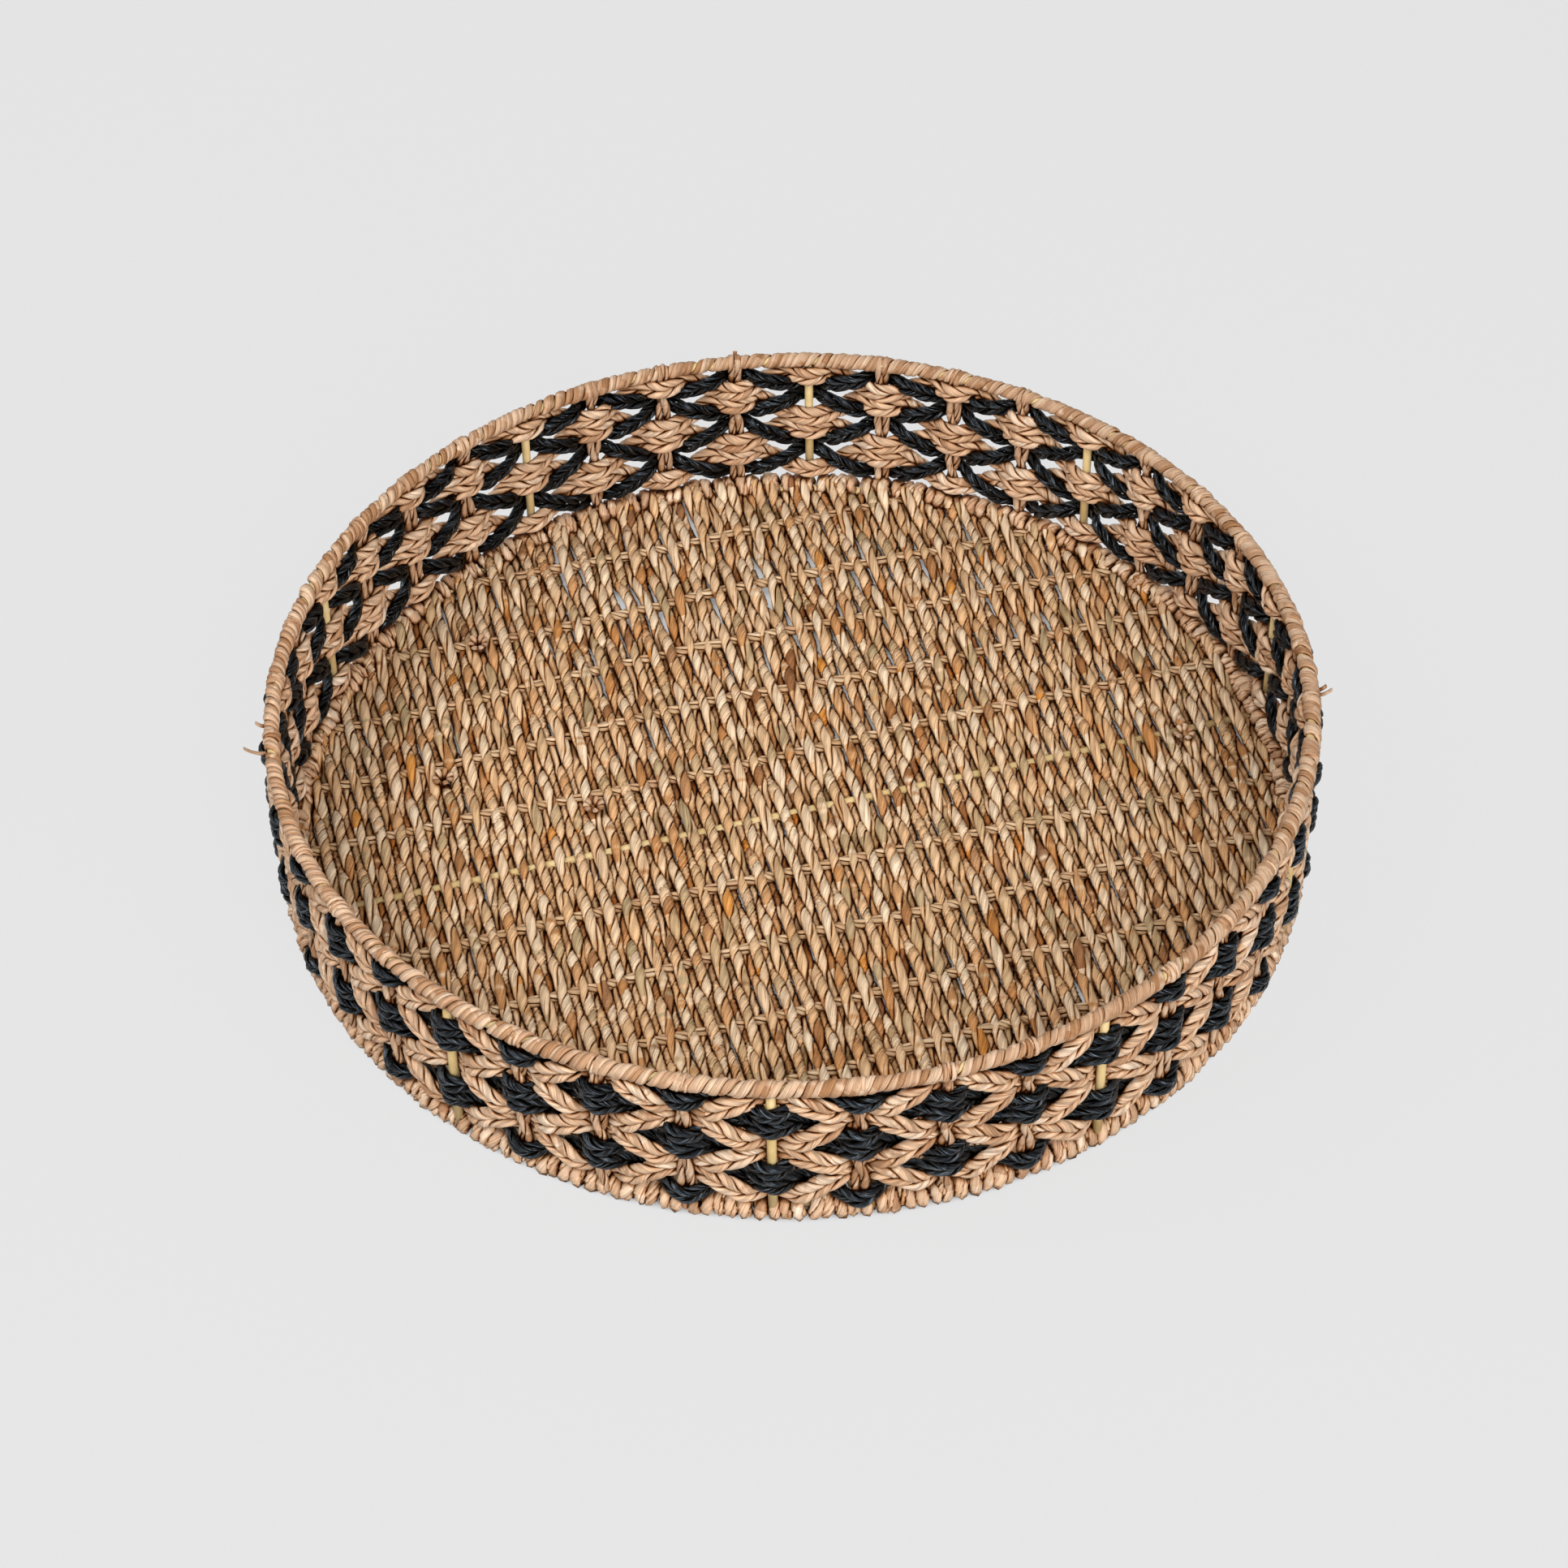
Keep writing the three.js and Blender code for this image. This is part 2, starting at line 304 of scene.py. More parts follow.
def twist_tree():
    """Node group that lays twisted plies along routes: route lines in, rope surface out."""
    name = "Twisted plies"
    if name in bpy.data.node_groups:
        return bpy.data.node_groups[name]
    tree = bpy.data.node_groups.new(name, "GeometryNodeTree")
    sockets = {"Geometry": "Geometry", "Step": "Float", "Lay": "Float", "Slack": "Float",
               "Ply offset": "Float", "Ply depth": "Float", "Ply width": "Float", "Unevenness": "Float",
               "Flatness": "Float", "Sides": "Int", "Plies": "Int", "Material": "Material"}
    for label, kind in sockets.items():
        tree.interface.new_socket(label, in_out="INPUT", socket_type=f"NodeSocket{kind}")
    tree.interface.new_socket("Geometry", in_out="OUTPUT", socket_type="NodeSocketGeometry")
    given = tree.nodes.new("NodeGroupInput").outputs
    along, level, ply, hand, tone, thick = (
        add(tree, "GeometryNodeInputNamedAttribute", {"Name": key}, data_type="FLOAT")
        for key in ("along", "level", "ply", "hand", "tone", "thick"))
    facing, outward = (
        add(tree, "GeometryNodeInputNamedAttribute", {"Name": key}, data_type="FLOAT_VECTOR")
        for key in ("facing", "outward"))
    tangent = add(tree, "GeometryNodeInputTangent")
    height = add(tree, "ShaderNodeSeparateXYZ", (add(tree, "GeometryNodeInputPosition"),), "Z")
    run = add(tree, "GeometryNodeSplineParameter", output="Length")

    # Even steps along each route, and a copy for each ply
    line = add(tree, "GeometryNodeMeshToCurve", {"Mesh": given["Geometry"]})
    line = add(tree, "GeometryNodeResampleCurve", {"Curve": line, "Length": given["Step"]}, mode="LENGTH")
    line = add(tree, STORE, {"Geometry": line, "Name": "along", "Value": run}, data_type="FLOAT")
    line = add(tree, STORE, {"Geometry": line, "Name": "level", "Value": height}, data_type="FLOAT")
    copies = add(tree, "GeometryNodeDuplicateElements", {"Geometry": line, "Amount": given["Plies"]},
                 domain="SPLINE")
    number = copies.node.outputs["Duplicate Index"]
    line = add(tree, STORE, {"Geometry": copies, "Name": "ply", "Value": number}, data_type="FLOAT",
               domain="CURVE")

    # Turn of each ply, with slack that lets the twist run faster and slower about every 25 mm
    rope_seed = add(tree, MATH, (tone, 97.0), operation="MULTIPLY")
    slack_run = add(tree, MATH, (along, 1 / (25 * MM)), operation="MULTIPLY")
    slack_place = add(tree, COMBINE, (slack_run, rope_seed, 5.0))
    slack = add(tree, NOISE, {"Vector": slack_place, "Scale": 1.0, "Detail": 0.0}, noise_dimensions="3D")
    slack = add(tree, MATH, (slack, 0.5), operation="SUBTRACT")
    turns = add(tree, MATH, (along, given["Lay"]), operation="DIVIDE")
    turns = add(tree, MATH, (tone, 9.0, turns), operation="MULTIPLY_ADD")
    turns = add(tree, MATH, (slack, given["Slack"], turns), operation="MULTIPLY_ADD")
    share = add(tree, MATH, (ply, given["Plies"]), operation="DIVIDE")
    turns = add(tree, MATH, (turns, hand, share), operation="MULTIPLY_ADD")
    turn = add(tree, MATH, (turns, 2 * math.pi), operation="MULTIPLY")
    line = add(tree, STORE, {"Geometry": line, "Name": "turn", "Value": turn}, data_type="FLOAT")
    turn = add(tree, "GeometryNodeInputNamedAttribute", {"Name": "turn"}, data_type="FLOAT")

    # Each ply moves out from the middle line in the direction of its turn
    normal = square_to(tree, facing, tangent)
    across = add(tree, VECTOR, (tangent, normal), operation="CROSS_PRODUCT")
    cosine = add(tree, MATH, (turn,), operation="COSINE")
    sine = add(tree, MATH, (turn,), operation="SINE")
    ahead = add(tree, VECTOR, {"Vector": normal, "Scale": cosine}, operation="SCALE")
    aside = add(tree, VECTOR, {"Vector": across, "Scale": sine}, operation="SCALE")
    direction = add(tree, VECTOR, (ahead, aside), operation="ADD")
    line = add(tree, STORE, {"Geometry": line, "Name": "outward", "Value": direction},
               data_type="FLOAT_VECTOR")
    reach = add(tree, MATH, (given["Ply offset"], thick), operation="MULTIPLY")
    offset = add(tree, VECTOR, {"Vector": outward, "Scale": reach}, operation="SCALE")
    line = add(tree, "GeometryNodeSetPosition", {"Geometry": line, "Offset": offset})
    upright = square_to(tree, outward, tangent)
    line = add(tree, "GeometryNodeSetCurveNormal", {"Curve": line, "Normal": upright}, mode="FREE")

    # Oval section, which swells and thins 90 times in a metre of ply
    ply_seed = add(tree, MATH, (ply, 5.3, rope_seed), operation="MULTIPLY_ADD")
    swell_run = add(tree, MATH, (along, 90.0), operation="MULTIPLY")
    swell_place = add(tree, COMBINE, (swell_run, ply_seed, 0.0))
    swell = add(tree, NOISE, {"Vector": swell_place, "Scale": 1.0}, noise_dimensions="3D")
    swell = add(tree, MATH, (swell, 0.5), operation="SUBTRACT")
    swell = add(tree, MATH, (swell, given["Unevenness"], 1.0), operation="MULTIPLY_ADD")
    swell = add(tree, MATH, (swell, thick), operation="MULTIPLY")
    section = add(tree, "GeometryNodeCurvePrimitiveCircle", {"Resolution": given["Sides"], "Radius": 1.0},
                  mode="RADIUS")
    share = add(tree, "GeometryNodeSplineParameter", output="Factor")
    section = add(tree, STORE, {"Geometry": section, "Name": "around", "Value": share}, data_type="FLOAT")
    oval = add(tree, COMBINE, (given["Ply depth"], given["Ply width"], 1.0))
    section = add(tree, "GeometryNodeTransform", {"Geometry": section, "Scale": oval})
    skin = add(tree, "GeometryNodeCurveToMesh",
               {"Curve": line, "Profile Curve": section, "Scale": swell, "Fill Caps": True})

    # The rope is pressed flat towards the height of its route
    press = add(tree, MATH, (level, height), operation="SUBTRACT")
    press = add(tree, MATH, (press, given["Flatness"]), operation="MULTIPLY")
    skin = add(tree, "GeometryNodeSetPosition",
               {"Geometry": skin, "Offset": add(tree, COMBINE, (0.0, 0.0, press))})
    skin = add(tree, "GeometryNodeSetShadeSmooth", {"Geometry": skin})
    skin = add(tree, "GeometryNodeRealizeInstances", {"Geometry": skin})
    skin = add(tree, "GeometryNodeSetMaterial", {"Geometry": skin, "Material": given["Material"]})
    add(tree, "NodeGroupOutput", (skin,))
    return tree


class Route:
    """The middle line of one rope, cord or strip. Facing is the side its plies are counted from."""

    def __init__(self, points, facing, closed=False, hand=1.0, tone=0.5, thick=1.0):
        self.points = points
        self.closed = closed
        self.facing = facing if isinstance(facing, list) else [facing] * len(points)
        self.thick = thick if isinstance(thick, list) else [thick] * len(points)
        self.hand = [hand] * len(points)
        self.tone = [tone] * len(points)


def lay(name, routes, material, nodes, slot, sizes):
    """Lays plies along the routes and stands the result in for solids of the frame."""
    lines = bpy.data.meshes.new(f"{name}_routes")
    points, edges = [], []
    for route in routes:
        first = len(points)
        points.extend(route.points)
        edges.extend((i, i + 1) for i in range(first, len(points) - 1))
        if route.closed:
            edges.append((len(points) - 1, first))
    lines.from_pydata(points, edges, [])
    facing = [number for route in routes for direction in route.facing for number in direction]
    lines.attributes.new("facing", "FLOAT_VECTOR", "POINT").data.foreach_set("vector", facing)
    for key in ("hand", "tone", "thick"):
        values = [value for route in routes for value in getattr(route, key)]
        lines.attributes.new(key, "FLOAT", "POINT").data.foreach_set("value", values)
    rough = bpy.data.objects.new(f"{name}_routes", lines)
    bpy.context.scene.collection.objects.link(rough)
    modifier = rough.modifiers.new("Plies", "NODES")
    modifier.node_group = twist_tree()
    values = {"Slack": 0.0, "Flatness": 0.0, "Material": material, **sizes}
    for item in modifier.node_group.interface.items_tree:
        if item.in_out == "INPUT" and item.name in values:
            modifier[item.identifier] = values[item.name]
    graph = bpy.context.evaluated_depsgraph_get()
    mesh = bpy.data.meshes.new_from_object(rough.evaluated_get(graph))
    bpy.data.objects.remove(rough)
    bpy.data.meshes.remove(lines)
    mesh.name = name
    piece = bpy.data.objects.new(name, mesh)
    bpy.context.scene.collection.objects.link(piece)
    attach(piece, BODY)
    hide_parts(*nodes)
    return piece


# Materials

def seagrass(name, tones, gap, streak, crown, roughness, shine, ply, bump, deep=3.5 * MM, patch=None,
             index=1.5):
    """Dried grass stems: fine fibres that run along each ply, and a tone of its own on every lobe.

    Tones are (share, colour) stops. Gap is the darkest colour of painted shade, laid by ambient occlusion in
    the gaps between the lobes; streak colours the lines between the fibres and crown the highlights on them.
    Ply is the radius of a ply, bump the relief of its fibres and deep the reach of that painted shade, the
    depth of the gaps that light hardly reaches. A patch is the length of one tone on a strip that has no
    twist. Shine and index are the strength and the refraction of the highlights.
    """
    if name in bpy.data.materials:
        return bpy.data.materials[name]
    material = bpy.data.materials.new(name)
    material.use_nodes = True
    tree = material.node_tree
    shader = tree.nodes["Principled BSDF"]
    along, number, tone, turn, round_ply = (
        add(tree, "ShaderNodeAttribute", output="Fac", attribute_name=key)
        for key in ("along", "ply", "tone", "turn", "around"))
    seed = add(tree, MATH, (tone, 143.0), operation="MULTIPLY")
    seed = add(tree, MATH, (number, 17.7, seed), operation="MULTIPLY_ADD")

    # A lobe is half a turn of a ply, the part that comes to the surface
    runs = (along, patch) if patch else (turn, math.pi)
    lobe = add(tree, MATH, runs, operation="DIVIDE")
    lobe = add(tree, MATH, (add(tree, MATH, (lobe, 0.5), operation="ADD"),), operation="FLOOR")
    place = add(tree, COMBINE, (lobe, seed, 0.0))
    pick = add(tree, "ShaderNodeTexWhiteNoise", {"Vector": place}, noise_dimensions="3D")
    shade = add(tree, "ShaderNodeValToRGB", (pick,), stops=tones)

    # Fibres lie round each ply and run along it
    angle = add(tree, MATH, (round_ply, 2 * math.pi), operation="MULTIPLY")
    cosine = add(tree, MATH, (angle,), operation="COSINE")
    sine = add(tree, MATH, (angle,), operation="SINE")
    fibre_run = add(tree, MATH, (along, 1 / FIBRE_LENGTH, seed), operation="MULTIPLY_ADD")
    fibre_y = add(tree, MATH, (cosine, ply / FIBRE_WIDTH), operation="MULTIPLY")
    fibre_z = add(tree, MATH, (sine, ply / FIBRE_WIDTH), operation="MULTIPLY")
    place = add(tree, COMBINE, (fibre_run, fibre_y, fibre_z))
    fibres = add(tree, NOISE, {"Vector": place, "Scale": 1.0, "Detail": 3.0, "Roughness": 0.6},
                 noise_dimensions="3D")
    streaks = add(tree, "ShaderNodeValToRGB", (fibres,), stops=((0.30, streak), (0.50, (1.0, 1.0, 1.0))))
    shade = add(tree, "ShaderNodeMix", {0: 1.0, 6: shade, 7: streaks}, 2, data_type="RGBA",
                blend_type="MULTIPLY")

    # Painted shade: ambient occlusion darkens the colour in the gaps between lobes and ropes, more where less
    # light reaches
    daylight = add(tree, "ShaderNodeAmbientOcclusion", {"Distance": deep}, "AO", samples=8)
    stops = ((0.10, gap), (0.40, linear("#6b4226")), (0.66, linear("#d8bfa2")), (0.88, (1.0, 1.0, 1.0)))
    gaps = add(tree, "ShaderNodeValToRGB", (daylight,), stops=stops)
    shade = add(tree, "ShaderNodeMix", {0: 1.0, 6: shade, 7: gaps}, 2, data_type="RGBA",
                blend_type="MULTIPLY")

    # Highlights lie on the crowns of the fibres; painted shade from the same ambient occlusion dims them in
    # the gaps
    sheen = add(tree, "ShaderNodeMapRange",
                {"Value": fibres, "To Min": roughness + 0.1, "To Max": roughness - 0.1})
    relief = add(tree, "ShaderNodeBump", {"Strength": 1.0, "Distance": bump, "Height": fibres})
    crowns = add(tree, "ShaderNodeValToRGB", (fibres,), stops=((0.47, (0.0, 0.0, 0.0)), (0.61, crown)))
    crowns = add(tree, "ShaderNodeMix", {0: 1.0, 6: crowns, 7: gaps}, 2, data_type="RGBA",
                 blend_type="MULTIPLY")
    tree.links.new(crowns, shader.inputs["Specular Tint"])
    tree.links.new(shade, shader.inputs["Base Color"])
    tree.links.new(sheen, shader.inputs["Roughness"])
    tree.links.new(relief, shader.inputs["Normal"])
    shader.inputs["Specular IOR Level"].default_value = shine
    shader.inputs["IOR"].default_value = index
    return material


def natural_grass(colours):
    # Dried seagrass, sun bleached: matt beige lobes with a soft sheen on their crowns
    tones = ((0.0, colours.natural_dark), (0.25, colours.natural), (0.7, colours.natural),
             (1.0, colours.natural_pale))
    return seagrass("Natural seagrass", tones, colours.gap, streak=linear("#a9866a"), crown=linear("#fff4e6"),
                    roughness=0.55, shine=0.4, ply=2.0 * MM, bump=0.45 * MM)


def black_grass(colours):
    # Dyed and oiled seagrass: near black, with narrow cool highlights along the stems
    tones = ((0.0, colours.black), (0.6, colours.black), (1.0, colours.black_faded))
    return seagrass("Black dyed seagrass", tones, colours.gap, streak=linear("#505050"),
                    crown=linear("#d9ecff"), roughness=0.2, shine=1.0, ply=2.0 * MM, bump=0.6 * MM, index=1.8)


def base_grass(colours):
    # Dried seagrass of many stems: each lobe shows another stem, from pale beige to green, orange and brown
    tones = ((0.005, colours.base_ripe), (0.012, colours.base_brown), (0.07, colours.base_orange),
             (0.18, colours.base), (0.62, colours.base_pale), (0.82, colours.base), (1.0, colours.base_green))
    return seagrass("Base seagrass", tones, colours.gap, streak=linear("#9a7658"), crown=linear("#fff4e6"),
                    roughness=0.58, shine=0.35, ply=1.9 * MM, bump=0.4 * MM, deep=4 * MM)


def cord_grass(colours):
    # Split seagrass twisted to thin strands: even beige, a little shinier than whole stems
    tones = ((0.0, colours.strip_dark), (0.3, colours.strip), (1.0, colours.strip_pale))
    return seagrass("Seagrass cord", tones, colours.gap, streak=linear("#a07a5c"), crown=linear("#fff4e6"),
                    roughness=0.52, shine=0.4, ply=1.6 * MM, bump=0.3 * MM)


def cross_grass(colours):
    # Split seagrass laid straight under the rope: pale, thin strands
    tones = ((0.0, colours.strip), (0.3, colours.cross), (1.0, colours.cross_pale))
    return seagrass("Seagrass cross cord", tones, colours.gap, streak=linear("#a98c70"),
                    crown=linear("#fff4e6"), roughness=0.52, shine=0.4, ply=1.5 * MM, bump=0.3 * MM,
                    deep=3 * MM)


def binding_grass(colours):
    # Flat seagrass strips wound tight: broad beige bands, with creases between them darkened by real shadow
    # and by painted shade
    tones = ((0.0, colours.strip_dark), (0.4, colours.strip), (1.0, colours.strip_pale))
    return seagrass("Seagrass strip", tones, colours.gap, streak=linear("#a07a5c"), crown=linear("#fff4e6"),
                    roughness=0.52, shine=0.4, ply=2.0 * MM, bump=0.35 * MM, patch=19 * MM)


def painted_wire(colours):
    # Steel wire with satin pale gold paint: a soft highlight along it and slightly darker patches
    material = bpy.data.materials.new("Pale gold painted steel")
    material.use_nodes = True
    tree = material.node_tree
    shader = tree.nodes["Principled BSDF"]
    place = add(tree, "ShaderNodeTexCoord", output="Object")
    patches = add(tree, NOISE, {"Vector": place, "Scale": 1 / (9 * MM), "Detail": 3.0})
    paint = add(tree, "ShaderNodeValToRGB", (patches,),
                stops=((0.3, colours.wire_worn), (0.6, colours.wire)))
    tree.links.new(paint, shader.inputs["Base Color"])
    orange_peel = add(tree, NOISE, {"Vector": place, "Scale": 1 / (0.8 * MM), "Detail": 1.0})
    relief = add(tree, "ShaderNodeBump", {"Strength": 0.4, "Distance": 0.05 * MM, "Height": orange_peel})
    tree.links.new(relief, shader.inputs["Normal"])
    gloss = add(tree, "ShaderNodeMapRange", {"Value": patches, "To Min": 0.58, "To Max": 0.42})
    tree.links.new(gloss, shader.inputs["Roughness"])
    shader.inputs["Specular IOR Level"].default_value = 0.5
    return material


# Pieces

class TRAY_OT_frame_wires(bpy.types.Operator):
    """Paints the wire frame"""
    bl_idname = "tray.frame_wires"
    bl_label = "Frame wires"

    def execute(self, context):
        paint = painted_wire(context.scene.tray_colours)
        for name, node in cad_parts.items():
            if "_wire" in name:
                node.data.materials.clear()
                node.data.materials.append(paint)
                node.data.shade_smooth()
                node.modifiers.new("Joined faces", "WELD").merge_threshold = 0.01 * MM
        return {"FINISHED"}


class TRAY_OT_wall_weavers(bpy.types.Operator):
    """Weaves natural ropes inside the stakes and black ropes outside them"""
    bl_idname = "tray.wall_weavers"
    bl_label = "Wall weavers"

    def execute(self, context):
        wall = context.scene.tray_wall
        colours = context.scene.tray_colours
        for number in range(WEAVERS):
            self.weave(wall, "natural", -1, number, natural_grass(colours))
            self.weave(wall, "black", 1, number, black_grass(colours))
        return {"FINISHED"}

    def ends(self, wall, side, number, heights):
        """Height of a weaver at even and at odd stakes."""
        first, second, third, fourth, fifth = heights
        apart = wall.spread
        even = (first, third + apart, third - apart, fifth)[number]
        odd = (second + apart, second - apart, fourth + apart, fourth - apart)[number]
        return (even, odd) if side < 0 else (odd, even)

    def weave(self, wall, name, side, number, material):
        """Two ropes of one weaver, side by side all round the wall."""
        even, odd = self.ends(wall, side, number, getattr(wall, name))
        rope_size = getattr(wall, f"{name}_rope")
        drawn = getattr(wall, f"{name}_drawn")
        hold = getattr(wall, f"{name}_hold")
        crossing = getattr(wall, f"{name}_crossing")
        groove = getattr(wall, f"{name}_groove")
        per_bay = 16
        routes = []
        for rope, offset in enumerate((1, -1)):
            lane = number * 4 + rope * 2 + (side + 1) * 20
            points, facing = [], []
            for step in range(STAKES * per_bay):
                stakes = step / per_bay
                angle = stakes * 2 * math.pi / STAKES
                along = stakes % 2 if stakes % 2 <= 1 else 2 - stakes % 2
                at_stake = 1 - ease(min(along, 1 - along), 0.0, 0.38)
                height = even + (odd - even) * ease(along, hold, 1 - hold)
                gap = drawn + (wall.spread - drawn) * at_stake
                reach = wall.reach * at_stake - crossing * (1 - at_stake)
                height += offset * gap / 2 + wander(stakes * 0.9, lane, 0.8 * MM)
                radius = wall.radius + side * reach + wander(stakes * 0.7, lane + 1, 0.6 * MM)
                points.append(around(angle, radius, height))
                facing.append(around(angle, 1, 0))
            tone = chance("weaver", number, rope, side)
            routes.append(Route(points, facing, closed=True, hand=offset, tone=tone))
        half = rope_size / 2
        node = f"{name}_weaver_{number + 1}"
        lay(f"{node}_ropes", routes, material, [node], f"{name}_rope",
            {"Step": 1.1 * MM, "Lay": wall.lay, "Slack": 0.45, "Ply offset": half * (0.49 + groove / 2),
             "Ply depth": half * (0.55 - groove / 2), "Ply width": half * (0.82 - groove),
             "Unevenness": 0.7, "Sides": 8, "Plies": 2})


class TRAY_OT_wall_cords(bpy.types.Operator):
    """Stands a folded cord over the rim at every stake that isn't an upright"""
    bl_idname = "tray.wall_cords"
    bl_label = "Wall cords"

    def execute(self, context):
        wall = context.scene.tray_wall
        rim = context.scene.tray_rim
        stakes = [stake for stake in range(STAKES) if stake % STAKES_PER_UPRIGHT]
        routes = [self.strand(wall, rim, stake, leg) for stake in stakes for leg in (0, 1)]
        half = wall.cord / 2
        lay("wall_cord_strands", routes, cord_grass(context.scene.tray_colours), WALL_CORDS, "wall_cord",
            {"Step": 1.4 * MM, "Lay": 26 * MM, "Slack": 0.4, "Ply offset": half * 0.44,
             "Ply depth": half * 0.56, "Ply width": half * 0.9, "Unevenness": 0.5, "Sides": 7, "Plies": 2})
        return {"FINISHED"}

    def strand(self, wall, rim, stake, leg):
        """One of a cord's two strands: it climbs the wall round the other and folds over the rim."""
        middle = stake * 2 * math.pi / STAKES
        start = 2 * math.pi * chance("cord", stake) + math.pi * leg
        top = rim.height - 8 * MM
        corners = []
        for step in range(13):
            height = wall.cord_foot + (top - wall.cord_foot) * step / 12
            phase = start + 2 * math.pi * height / wall.cord_turn
            narrow = 1 - 0.25 * ease(height, top - 14 * MM, top)
            beside = wall.cord / 2 * math.tanh(2.2 * math.cos(phase)) * narrow
            radius = wall.radius + 0.2 * wall.cord * math.sin(phase) + MM * (1 - ease(height, 0, 12 * MM))
            corners.append(around(middle + beside / wall.radius, radius, height))
        beside = wall.cord * (0.36 if math.cos(start + 2 * math.pi * top / wall.cord_turn) > 0 else -0.36)
        for angle in (195, 155, 115, 75, 35, -5, -50):
            turn = math.radians(angle)
            corners.append(around(middle + beside / wall.radius, rim.radius + rim.fold * math.cos(turn),
                                  rim.height + rim.fold * math.sin(turn)))
        facing = around(middle + math.pi / 2, 1, 0)
        return Route(smooth_path(corners), facing, tone=chance("cord tone", stake, leg))


class TRAY_OT_rim_binding(bpy.types.Operator):
    """Winds strips round the rim wire"""
    bl_idname = "tray.rim_binding"
    bl_label = "Rim binding"

    def execute(self, context):
        rim = context.scene.tray_rim
        per_turn = 14
        routes = []
        for start in range(rim.starts):
            points, facing, thick = [], [], []
            for step in range(rim.turns * per_turn):
                turns = step / per_turn
                angle = 2 * math.pi * turns / rim.turns + wander(turns * 0.8, start, 0.011)
                wound = 2 * math.pi * (turns + start / rim.starts)
                bound = rim.bound + wander(turns * 0.9, start + 9, 0.5 * MM)
                bound += wander(turns * 0.13, 31, 0.6 * MM)
                points.append(around(angle, rim.radius + bound * math.cos(wound),
                                     rim.height + bound * math.sin(wound)))
                facing.append(around(angle, math.cos(wound), math.sin(wound)))
                thick.append(1 + wander(turns * 1.1, start + 60, 0.45))
            tone = chance("strip", start)
            routes.append(Route(points, facing, closed=True, hand=0, tone=tone, thick=thick))
        material = binding_grass(context.scene.tray_colours)
        lay("rim_binding_strips", routes, material, ["rim_binding"], "rim_binding",
            {"Step": 1.5 * MM, "Lay": 1.0, "Ply offset": 0.0, "Ply depth": rim.thickness / 2,
             "Ply width": rim.strip / 2, "Unevenness": 0.4, "Sides": 8, "Plies": 1})
        self.loose_ends(rim, material)
        return {"FINISHED"}

    def loose_ends(self, rim, material):
        """Ends of strips that have come free and stand out from the rim."""
        routes = []
        for number, (degrees, reach) in enumerate(LOOSE_ENDS):
            lean = (chance("loose lean", number) - 0.5) * 3 * MM / rim.radius
            corners = [around(math.radians(degrees) + lean * out, rim.radius + rim.bound + reach * MM * out,
                              rim.height + reach * MM * 0.6 * out * out)
                       for out in (0.0, 0.35, 0.7, 1.0)]
            routes.append(Route(smooth_path(corners), UP, hand=0, tone=chance("loose tone", number)))
        lay("rim_loose_ends", routes, material, ["rim_binding"], "rim_binding",
            {"Step": 1.0 * MM, "Lay": 1.0, "Ply offset": 0.0, "Ply depth": 0.4 * MM,
             "Ply width": 1.1 * MM, "Unevenness": 0.5, "Sides": 6, "Plies": 1})


